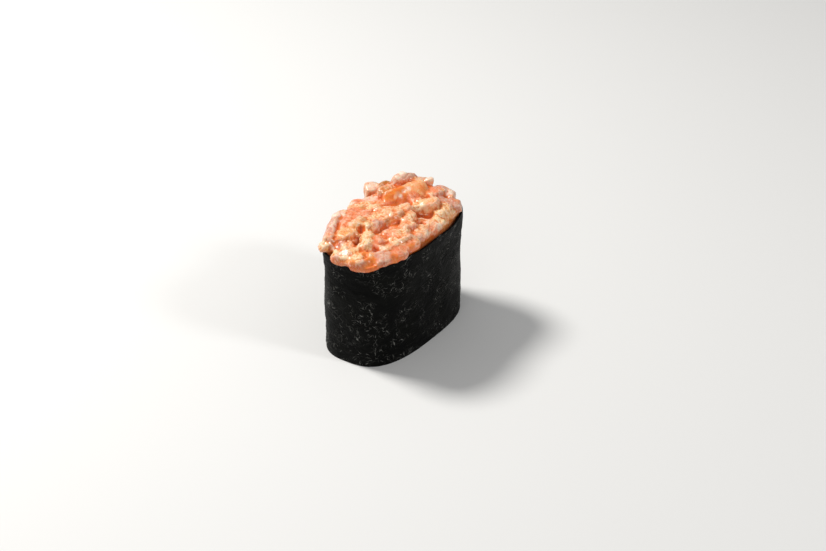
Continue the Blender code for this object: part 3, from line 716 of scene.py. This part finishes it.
def wall_offset(points):
    """How far outside the oval each point stands, roughly; inside is negative."""
    around = OUTLINE.points[:-1]
    count = len(around)
    angles, radii, slants = [], [], []
    for i, point in enumerate(around):
        run = (around[(i + 3) % count] - around[i - 3]).normalized()
        angles.append(math.atan2(point.y, point.x))
        radii.append(point.length)
        slants.append(point.normalized().dot(Vector((run.y, -run.x, 0.0))))
    turn = np.arctan2(points[:, 1], points[:, 0])
    radius = np.interp(turn, angles, radii, period=2.0 * math.pi)
    slant = np.interp(turn, angles, slants, period=2.0 * math.pi)
    return (np.hypot(points[:, 0], points[:, 1]) - radius) * slant


def calm_by_wall(points):
    """0 beside the band, 1 well away from it: how far the relief may stand out."""
    out = wall_offset(points)
    aside = np.maximum(np.maximum(-NORI_THICKNESS - out, out - FLARE), 0.0)
    above = np.maximum(points[:, 2] - BAND_HEIGHT, 0.0)
    return smooth_all((np.hypot(aside, above) - WALL_CALM[0]) / WALL_CALM[1])


def ownership(points, pieces):
    """For each point: its piece, how clearly it belongs to it, and its place in the piece's own axes."""
    count = len(points)
    best = np.full(count, PIECE_REACH)
    second = np.full(count, 9.0)
    owner = np.full(count, -1)
    local = np.zeros((count, 3))
    for number, (place, size, turn, _) in enumerate(pieces):
        rotation = np.array(Euler([math.radians(angle) for angle in turn]).to_matrix())
        inside = (points - np.array(place)) @ rotation
        far = np.linalg.norm(inside / (np.array(size) / 2.0), axis=1)
        closer = far < best
        second = np.where(closer, best, np.minimum(second, far))
        best = np.where(closer, far, best)
        owner = np.where(closer, number, owner)
        local[closer] = inside[closer]
    return owner, smooth_all((second - best) / PIECE_BLEND), local


def fat_lines(owner, local):
    """The thin pale lines of fat in cut flesh, curved like a salmon's."""
    turn = owner * 2.4
    across = local[:, 0] * np.cos(turn) + local[:, 2] * np.sin(turn)
    bent = across + 0.12 * local[:, 1] ** 2 * np.sign(np.sin(owner * 1.3))
    wander = noise_at(local + owner[:, None] * 3.0, 2.6, 41) * 1.1
    phase = (bent + wander + owner * 0.7) / FAT_SPACING
    near = np.abs(phase - np.round(phase)) * FAT_SPACING
    return smooth_all(1.0 - near / FAT_WIDTH)


def granules(points):
    """Rounded grains close together: 1 at each grain's middle, 0 between."""
    heights = []
    for point in (points / GRANULE).tolist():
        distances, _ = noise.voronoi(Vector(point))
        heights.append(distances[0])
    return 1.0 - np.clip(np.array(heights) / GRANULE_REACH, 0.0, 1.0) ** 2


def make_topping():
    pieces = all_pieces()
    points, faces = core_solid()
    for number, (place, size, turn, look) in enumerate(pieces):
        flesh = LOOKS[look][1]
        own, own_faces = piece_points(number, size, PIECE_ROUNDNESS - CUT_SHARPNESS * flesh)
        rotation = Euler([math.radians(angle) for angle in turn]).to_matrix()
        add_part(points, faces, [rotation @ point + Vector(place) for point in own], own_faces)
    heap = mesh_object("salmon_heap", points, faces)
    remesh(heap, ROUGH_VOXEL)
    keep_largest_body(heap)
    cut(heap, clearances())
    remesh(heap, FINE_VOXEL)
    keep_largest_body(heap)
    dress_topping(heap, pieces)
    return heap


def sink_pits(points, normals):
    """Presses the hollows between the pieces into the heap's surface."""
    sunk = points.copy()
    ragged = 1.0 + 0.55 * noise_at(points, 1.3, 12)
    for (x, y), (length, width), yaw, depth in PITS:
        turn = math.radians(yaw)
        aside = points[:, :2] - np.array((x, y))
        along = (aside[:, 0] * math.cos(turn) + aside[:, 1] * math.sin(turn)) / (length / 2.0)
        across = (aside[:, 1] * math.cos(turn) - aside[:, 0] * math.sin(turn)) / (width / 2.0)
        share = np.exp(-0.7 * ((along ** 2 + across ** 2) * ragged) ** 1.2)
        sunk[:, 2] -= depth * share * np.clip(normals[:, 2] * 1.6, 0.0, 1.0)
    return sunk


def dress_topping(heap, pieces):
    """Gives the heap its relief, and what its material needs at each vertex."""
    mesh = heap.data
    points = points_of(mesh)
    edges = edges_of(mesh)
    points = relaxed(points, edges, 6)
    set_points(mesh, points)
    points = sink_pits(points, normals_of(mesh))
    points = relaxed(points, edges, 2)
    set_points(mesh, points)
    normals = normals_of(mesh)
    owner, sure, local = ownership(points, pieces)
    tints = np.array([LOOKS[piece[3]][0] for piece in pieces] + [LOOKS["peach"][0]])
    traits = np.array([LOOKS[piece[3]][1:] for piece in pieces] + [CORE_TRAITS])
    tint, trait = tints[owner], traits[owner]
    ragged = 0.55 * noise_at(points, 0.9, 9) + 0.45 * noise_at(points, 2.2, 10)
    for *place, radius, look, strength in SPOTS:
        away = np.linalg.norm(points - np.array(place), axis=1) / radius
        share = (smooth_all(1.5 - away + ragged * 0.9) * strength)[:, None]
        tint = tint + (np.array(LOOKS[look][0]) - tint) * share
        trait = trait + (np.array(LOOKS[look][1:]) - trait) * share
    trait = relaxed(trait, edges, 4)
    tint = relaxed(tint, edges, 4)
    flesh, sauce, grain = trait[:, 0], trait[:, 1], trait[:, 2]
    # painted shade: faces that turn downwards get darker, more orange colour and less cream sauce, so
    # upward faces stay lighter, as light from above shows them
    upward = relaxed(normals, edges, 12)[:, 2]
    lit = smooth_all((upward + 0.15) / 0.95)
    out = wall_offset(points)
    # painted shade: the heap's lower edge beside the band, and the lip that hangs over it, turn dark
    # orange and lose their sauce and fat lines
    edge = smooth_all((1.3 - (points[:, 2] - BAND_HEIGHT)) / 1.3) * smooth_all(out + 1.6)
    lip = smooth_all((37.0 - points[:, 2]) / 2.0) * smooth_all((out + 0.3) / 0.8)
    edge = np.clip(np.maximum(edge, lip) * (0.9 + 0.8 * ragged), 0.0, 1.0)
    # painted shade on the downward faces, except on cut flesh
    under = np.clip(1.0 - lit, 0.0, 1.0) * (1.0 - smooth_all((flesh - 0.8) / 0.2))
    tint = tint * (1.0 - under[:, None] * np.array((0.08, 0.36, 0.60)))
    tint = tint + (np.array(LOW_EDGE_SHADE) - tint) * (0.95 * edge)[:, None]
    sauce = sauce * (1.0 - 0.8 * under) * (1.0 - 0.9 * edge)
    fat = fat_lines(owner, local) * flesh * np.where(owner < 0, 0.0, 1.0) * sure

    lumps = noise_at(points, 2.9, 3) + 0.55 * noise_at(points, 1.4, 4)
    creases = np.maximum(0.5 - np.abs(noise_at(points, 1.9, 8)) * 2.2, 0.0)
    creases += 0.5 * np.maximum(0.5 - np.abs(noise_at(points, 1.05, 13)) * 2.0, 0.0)
    fine = noise_at(points, 0.75, 5)
    beads = granules(points)
    along = local * np.array((0.22, 1.0, 1.0))
    fibre = noise_at(along + owner[:, None] * 1.7, 0.55, 6)
    patch = smooth_all(noise_at(points, 3.4, 7) * 1.5 + 0.5)
    beady = np.clip(grain * (0.35 + 0.9 * patch), 0.0, 1.0)
    rough = 1.0 - smooth_all((flesh - 0.3) / 0.6)
    relief = lumps * (LUMPS[0] + LUMPS[1] * rough) + fine * (FINE_LUMPS[0] + FINE_LUMPS[1] * rough)
    relief -= creases * (CREASES[0] + CREASES[1] * rough)
    relief += (beads - 0.5) * BEADS * beady + fibre * FIBRES * flesh * (1.0 - beady)
    relief += fat * FAT_RISE
    moved = points + normals * (relief * calm_by_wall(points))[:, None]
    set_points(mesh, moved)

    # How far each point lies below its neighbours, at three widths: the material paints shade into these
    # hollows and a highlight on the ridges.
    near = relaxed(moved, edges, 8)
    around = relaxed(near, edges, 52)
    wide = relaxed(around, edges, 160)
    normals = normals_of(mesh)
    pit = np.sum((near - moved) * normals, axis=1) / 0.06
    hollow = np.sum((around - moved) * normals, axis=1) / 0.30
    basin = np.sum((wide - moved) * normals, axis=1) / 0.9
    store(mesh, "tint", tint)
    store(mesh, "fat", fat * (1.0 - edge))
    store(mesh, "rough", rough * (1.0 - 0.8 * edge))
    store(mesh, "sauce", np.clip(sauce, 0.0, 1.0))
    store(mesh, "beads", beads * beady)
    for name, values in (("pit", pit), ("hollow", hollow), ("basin", basin)):
        store(mesh, name, np.clip(values, -1.0, 1.0))
    mesh.shade_smooth()


# ---- the rice ----

# The block behind the grains: the height and the inset of each of its rings.
RICE_RINGS = ((RICE_FLOOR + 0.6, WALL_INSET + 0.9), (RICE_FLOOR + 1.6, WALL_INSET + 0.1),
              (RICE_TOP, WALL_INSET + 0.1))
SECOND_LAYER = (1.9, 1.3, 0.75, 70.0)  # the upper grains' shift in x, y and height, and their turn
SECOND_REACH = 0.86  # share of the oval that the upper grains cover


def grain_places():
    draw = random.Random(GRAIN_SEED)
    places = [(0.0, 0.0, 0.0)]
    rows = int(HALF_WIDTH / GRAIN_SPACING) + 1
    columns = int(HALF_LENGTH / GRAIN_SPACING) + 1
    for row in range(-rows, rows + 1):
        for column in range(-columns, columns + 1):
            x = (column + 0.5 * (row % 2)) * GRAIN_SPACING * 1.12 + draw.uniform(-0.7, 0.7)
            y = row * GRAIN_SPACING * 0.92 + draw.uniform(-0.6, 0.6)
            yaw = draw.uniform(0.0, 180.0)
            from_middle = math.hypot(x, y)
            to_wall = from_middle / max(oval_share(x, y), 0.01) - from_middle - WALL_INSET
            if to_wall < GRAIN[0] / 2.0 + 0.4:
                turn = math.atan2(y, x)
                run = oval_point(turn + 0.05) - oval_point(turn - 0.05)
                yaw = math.degrees(math.atan2(run.y, run.x)) + draw.uniform(-12.0, 12.0)
            if to_wall > GRAIN[1] / 2.0 + 0.3 and from_middle > GRAIN_SPACING * 0.8:
                places.append((x, y, yaw))
    return places


def grain_points(place, yaw, tilt, size, bend):
    """One cooked grain: plump, a little bent, and blunter at one end."""
    shape = bmesh.new()
    bmesh.ops.create_uvsphere(shape, u_segments=14, v_segments=10, radius=1.0)
    turn = Euler((0.0, math.radians(tilt), math.radians(yaw))).to_matrix()
    points = []
    for vertex in shape.verts:
        along, across, up = vertex.co.z, vertex.co.x, vertex.co.y
        blunt = 1.0 - 0.12 * along
        point = Vector((along * size[0] / 2.0, (across * blunt + bend * along * along) * size[1] / 2.0,
                        up * blunt * size[2] / 2.0))
        points.append(turn @ point + Vector(place))
    faces = [[vertex.index for vertex in face.verts] for face in shape.faces]
    shape.free()
    return points, faces


def make_rice():
    points = []
    for height, inset in RICE_RINGS:
        points.extend(inset_ring(inset, height))
    faces = ring_faces(len(RICE_RINGS))
    faces.append(tuple(reversed(range(RING_STEPS))))
    faces.append(tuple(range(len(points) - RING_STEPS, len(points))))
    draw = random.Random(GRAIN_TILT_SEED)
    rows = [(x, y, yaw, 0.0) for x, y, yaw in grain_places()]
    shift_x, shift_y, rise, turn = SECOND_LAYER
    rows += [(x + shift_x, y + shift_y, yaw + turn, rise) for x, y, yaw in grain_places()]
    for number, (x, y, yaw, up) in enumerate(rows):
        if oval_share(x, y) > SECOND_REACH and up > 0.0:
            continue
        tilt = 0.0 if number == 0 else draw.uniform(-10.0, 10.0)
        height = 0.7 if number == 0 else draw.uniform(0.75, 1.0) + up
        size = [side * draw.uniform(0.92, 1.06) for side in GRAIN]
        own, own_faces = grain_points((x, y, height), yaw, tilt, size, draw.uniform(-0.25, 0.25))
        add_part(points, faces, own, own_faces)
    rice = mesh_object("rice_block", points, faces)
    remesh(rice, RICE_VOXEL)
    keep_largest_body(rice)
    mesh = rice.data
    points = relaxed(points_of(mesh), edges_of(mesh), 2)
    points[:, 2] = np.maximum(points[:, 2], 0.0)
    set_points(mesh, points)
    mesh.shade_smooth()
    return rice


# ---- materials ----


class Nodes:
    """Shorthand for building a material's nodes."""

    def __init__(self, name):
        self.material = bpy.data.materials.new(name)
        self.material.use_nodes = True
        self.tree = self.material.node_tree
        self.shader = self.tree.nodes["Principled BSDF"]
        self.place = self.add("ShaderNodeTexCoord").outputs["Object"]

    def add(self, kind, **settings):
        node = self.tree.nodes.new(kind)
        for key, value in settings.items():
            setattr(node, key, value)
        return node

    def link(self, value, socket):
        if isinstance(value, bpy.types.NodeSocket):
            self.tree.links.new(value, socket)
        elif isinstance(value, tuple) and len(value) == 3 and socket.type == "RGBA":
            socket.default_value = (*value, 1.0)
        else:
            socket.default_value = value

    def attribute(self, name, kind="Fac"):
        return self.add("ShaderNodeAttribute", attribute_name=name).outputs[kind]

    def bent(self, place, size, reach):
        """Coordinates pushed aside by up to reach millimetres, in bends of about size millimetres."""
        push = self.add("ShaderNodeTexNoise")
        self.link(place, push.inputs["Vector"])
        push.inputs["Scale"].default_value = 1.0 / (size * MM)
        node = self.add("ShaderNodeVectorMath", operation="MULTIPLY_ADD")
        self.link(push.outputs["Color"], node.inputs[0])
        node.inputs[1].default_value = (reach * MM, reach * MM, 0.0)
        self.link(place, node.inputs[2])
        return node.outputs["Vector"]

    def along(self, place, turn, stretch):
        """Coordinates in which features come out longer by stretch in the direction of turn."""
        node = self.add("ShaderNodeMapping", vector_type="TEXTURE")
        node.inputs["Rotation"].default_value = (0.0, 0.0, turn)
        node.inputs["Scale"].default_value = (stretch, 1.0, 1.0)
        self.link(place, node.inputs["Vector"])
        return node.outputs["Vector"]

    def noise(self, size, detail=3.0, rough=0.55, place=None, warp=0.0):
        """Noise whose features are about size millimetres across."""
        node = self.add("ShaderNodeTexNoise")
        self.link(place or self.place, node.inputs["Vector"])
        node.inputs["Scale"].default_value = 1.0 / (size * MM)
        node.inputs["Detail"].default_value = detail
        node.inputs["Roughness"].default_value = rough
        node.inputs["Distortion"].default_value = warp
        return node.outputs["Fac"]

    def ramp(self, value, low, high, start=0.0, end=1.0):
        node = self.add("ShaderNodeMapRange", interpolation_type="SMOOTHSTEP")
        self.link(value, node.inputs["Value"])
        for key, number in (("From Min", low), ("From Max", high), ("To Min", start), ("To Max", end)):
            node.inputs[key].default_value = number
        return node.outputs["Result"]

    def math(self, operation, first, second=0.0):
        node = self.add("ShaderNodeMath", operation=operation)
        self.link(first, node.inputs[0])
        self.link(second, node.inputs[1])
        return node.outputs[0]

    def mix(self, share, first, second, blend="MIX"):
        node = self.add("ShaderNodeMix", data_type="RGBA", blend_type=blend)
        self.link(share, node.inputs["Factor"])
        self.link(first, node.inputs["A"])
        self.link(second, node.inputs["B"])
        return node.outputs["Result"]

    def bump(self, height, depth, strength=1.0, under=None):
        node = self.add("ShaderNodeBump")
        node.inputs["Strength"].default_value = strength
        node.inputs["Distance"].default_value = depth * MM
        self.link(height, node.inputs["Height"])
        if under:
            self.link(under, node.inputs["Normal"])
        return node.outputs["Normal"]

    def finish(self, **inputs):
        for key, value in inputs.items():
            self.link(value, self.shader.inputs[key.replace("_", " ")])
        return self.material


# Colours, and the directions in which the nori's fibres lie.
NORI_DARK = (0.0012, 0.0013, 0.0011)
NORI_GREEN = (0.0026, 0.0028, 0.0020)
NORI_WEB = (0.006, 0.0065, 0.005)
# painted highlight: the pale colour of the nori's fibre streaks stands in for the glints they catch
NORI_FIBRE_GLINT = (0.19, 0.19, 0.175)
FIBRE_TURNS = (0.3, 1.0, 1.8, 2.6)
ROSY = (1.0, 0.74, 0.68)
FAT = (0.95, 0.58, 0.38)
THIN_SAUCE = (0.95, 0.56, 0.28)
THICK_SAUCE = (0.98, 0.80, 0.52)
# painted highlight on the grains' crowns
BEAD_CROWN_HIGHLIGHT = (0.98, 0.72, 0.42)
PALE_GRIT = (0.98, 0.80, 0.58)
DARK_GRIT = (0.68, 0.19, 0.04)
FLECK = (0.54, 0.14, 0.025)
# painted shade in the small pits
PIT_SHADE = (0.72, 0.18, 0.03)
# painted highlight on the small ridges
RAISED_HIGHLIGHT = (0.98, 0.76, 0.58)
# painted shade in the hollows and wide basins
SUNK_SHADE = (0.70, 0.14, 0.018)
RICE_DULL = (0.80, 0.77, 0.68)
RICE_CLEAR = (0.90, 0.88, 0.82)
FLOOR_PALE = (0.80, 0.80, 0.79)


def nori_material():
    n = Nodes("nori")
    coarse = n.noise(7.0, 2.0)
    web = n.noise(0.9, 4.0, 0.7, warp=0.6)
    patch = n.ramp(n.noise(5.0, 2.0), 0.44, 0.62)
    strip = n.bent(n.attribute("strip", "Vector"), 2.2, 2.4)
    fibre = 0.0
    for turn in FIBRE_TURNS:
        streaks = n.noise(0.26, 1.0, 0.5, place=n.along(strip, turn, 11.0), warp=0.2)
        fibre = n.math("MAXIMUM", n.ramp(streaks, 0.668, 0.725), fibre)
    fibre = n.math("MULTIPLY", fibre, patch)
    green = n.mix(n.ramp(coarse, 0.35, 0.7), NORI_DARK, NORI_GREEN)
    colour = n.mix(n.ramp(web, 0.58, 0.76, 0.0, 0.5), green, NORI_WEB)
    # painted highlight: the fibre streaks are painted pale as glints; their lower roughness and their bump
    # are real
    colour = n.mix(fibre, colour, NORI_FIBRE_GLINT)
    rough = n.ramp(fibre, 0.0, 0.6, 0.55, 0.22)
    raised = n.bump(fibre, 0.12, under=n.bump(web, 0.22))
    return n.finish(Base_Color=colour, Roughness=rough, Normal=raised, Specular_IOR_Level=0.06)


def salmon_material():
    n = Nodes("salmon")
    tint = n.attribute("tint", "Color")
    kept = ("fat", "rough", "sauce", "beads", "pit", "hollow", "basin")
    fat, coarse, sauce, beads, pit, hollow, basin = map(n.attribute, kept)
    broad = n.noise(3.2, 3.0, 0.6)
    medium = n.noise(1.1, 3.0, 0.65, warp=0.8)
    small = n.noise(0.5, 3.0, 0.6)

    rosy = n.mix(1.0, tint, ROSY, "MULTIPLY")
    colour = n.mix(n.ramp(medium, 0.38, 0.62), rosy, tint)
    colour = n.mix(n.math("MULTIPLY", fat, 0.7), colour, FAT)
    cover = n.math("MULTIPLY", sauce, n.ramp(broad, 0.34, 0.58))
    cover = n.math("ADD", cover, n.math("MULTIPLY", sauce, n.ramp(medium, 0.54, 0.68, 0.0, 0.7)))
    # less cream sauce in the hollows: part of the painted shade there
    cover = n.math("MULTIPLY", cover, n.ramp(hollow, 0.55, -0.25))
    cream = n.mix(n.ramp(small, 0.38, 0.62), THIN_SAUCE, THICK_SAUCE)
    colour = n.mix(n.ramp(cover, 0.0, 1.0), colour, cream)
    # painted highlight: the grains' crowns are painted paler
    colour = n.mix(n.ramp(beads, 0.55, 1.0, 0.0, 0.4), colour, BEAD_CROWN_HIGHLIGHT)
    grit = n.noise(0.38, 2.0, 0.6)
    gritty = n.math("ADD", n.math("MULTIPLY", coarse, 0.36), 0.06)
    colour = n.mix(n.math("MULTIPLY", n.ramp(grit, 0.54, 0.68), gritty), colour, PALE_GRIT)
    colour = n.mix(n.math("MULTIPLY", n.ramp(grit, 0.46, 0.32), gritty), colour, DARK_GRIT)
    flecks = n.ramp(n.noise(0.75, 2.0, 0.6, warp=0.5), 0.58, 0.70)
    colour = n.mix(n.math("MULTIPLY", flecks, n.math("ADD", gritty, 0.12)), colour, FLECK)
    # painted shade: darker orange in the small pits of the relief
    colour = n.mix(n.ramp(pit, 0.10, 0.9, 0.0, 0.75), colour, PIT_SHADE)
    # painted highlight: lighter colour on the small ridges of the rough, sauced surface
    raised = n.math("MULTIPLY", n.ramp(pit, -0.2, -1.0, 0.0, 0.35), n.ramp(coarse, 0.1, 0.5))
    colour = n.mix(raised, colour, RAISED_HIGHLIGHT)
    # painted shade: darker orange in the hollows and wide basins
    sunk = n.math("ADD", n.ramp(hollow, 0.08, 0.9, 0.0, 0.8), n.ramp(basin, 0.45, 1.2, 0.0, 0.5))
    colour = n.mix(n.ramp(sunk, 0.0, 1.0), colour, SUNK_SHADE)

    gloss = n.ramp(small, 0.35, 0.70, 0.22, 0.45)
    height = n.math("ADD", medium, n.math("MULTIPLY", small, 0.6))
    height = n.math("MULTIPLY", height, n.math("ADD", n.math("MULTIPLY", coarse, 0.5), 0.2))
    normal = n.bump(height, 0.20, 0.8)
    n.shader.subsurface_method = "RANDOM_WALK"
    return n.finish(Base_Color=colour, Roughness=gloss, Normal=normal, Subsurface_Weight=0.30,
                    Subsurface_Radius=(1.0, 0.42, 0.22), Subsurface_Scale=0.0008,
                    Coat_Weight=0.45, Coat_Roughness=0.08, Specular_IOR_Level=0.35)


def rice_material():
    n = Nodes("rice")
    cloud = n.noise(2.2, 3.0)
    colour = n.mix(n.ramp(cloud, 0.35, 0.65), RICE_DULL, RICE_CLEAR)
    normal = n.bump(n.noise(0.6, 3.0), 0.05, 0.6)
    return n.finish(Base_Color=colour, Roughness=n.ramp(cloud, 0.3, 0.7, 0.28, 0.45), Normal=normal,
                    Subsurface_Weight=0.35, Subsurface_Radius=(1.0, 0.85, 0.7), Subsurface_Scale=0.0012)


# ---- the floor, the lights and the camera ----

FLOOR_REACH = 3000.0
FLOOR_DROP = 0.05  # the floor lies this far under the sushi
CAMERA_PLACE = Vector((-0.42418, -0.27908, 0.34694))
CAMERA_TARGET = Vector((0.02588, 0.00875, 0.0))
CAMERA_SENSOR = 36.0
CAMERA_LENS = 87.16707
LIGHT_TARGET = (0.0, 0.0, 0.03)
WORLD_STRENGTH = 0.24


def make_floor():
    corners = ((-1.0, -1.0), (1.0, -1.0), (1.0, 1.0), (-1.0, 1.0))
    points = [(x * FLOOR_REACH, y * FLOOR_REACH, -FLOOR_DROP) for x, y in corners]
    floor = mesh_object("floor", points, [(0, 1, 2, 3)])
    n = Nodes("floor")
    floor.data.materials.append(n.finish(Base_Color=FLOOR_PALE, Roughness=0.7))


def aim(body, place, target):
    body.location = place
    body.rotation_euler = (Vector(target) - Vector(place)).to_track_quat("-Z", "Y").to_euler()


def add_light(name, place, size, power, colour=(1.0, 1.0, 1.0)):
    light = bpy.data.lights.new(name, "AREA")
    light.shape = "DISK"
    light.size = size
    light.energy = power
    light.color = colour
    aim(new_object(name, light), place, LIGHT_TARGET)


def make_lights():
    world = bpy.data.worlds.new("studio")
    bpy.context.scene.world = world
    world.use_nodes = True
    background = world.node_tree.nodes["Background"]
    background.inputs["Color"].default_value = (1.0, 1.0, 1.0, 1.0)
    background.inputs["Strength"].default_value = WORLD_STRENGTH
    add_light("key", (-0.05, 0.40, 0.52), 0.16, 4.15, (1.0, 0.98, 0.95))
    add_light("side", (0.10, -0.70, 0.50), 0.16, 1.8)
    add_light("fill", (-0.60, -0.10, 0.50), 0.50, 0.6)


def make_camera():
    camera = bpy.data.cameras.new("camera")
    camera.lens = CAMERA_LENS
    camera.sensor_width = CAMERA_SENSOR
    camera.sensor_fit = "HORIZONTAL"
    body = new_object("camera", camera)
    aim(body, CAMERA_PLACE, CAMERA_TARGET)
    bpy.context.scene.camera = body


def dress(piece, node, material):
    piece.data.materials.clear()
    piece.data.materials.append(material)
    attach(piece, "root")
    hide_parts(node)


def main():
    bpy.context.scene.view_settings.view_transform = "Standard"
    make_camera()
    make_lights()
    make_floor()
    dress(make_nori(), "nori", nori_material())
    dress(make_rice(), "rice", rice_material())
    dress(make_topping(), "topping", salmon_material())


main()
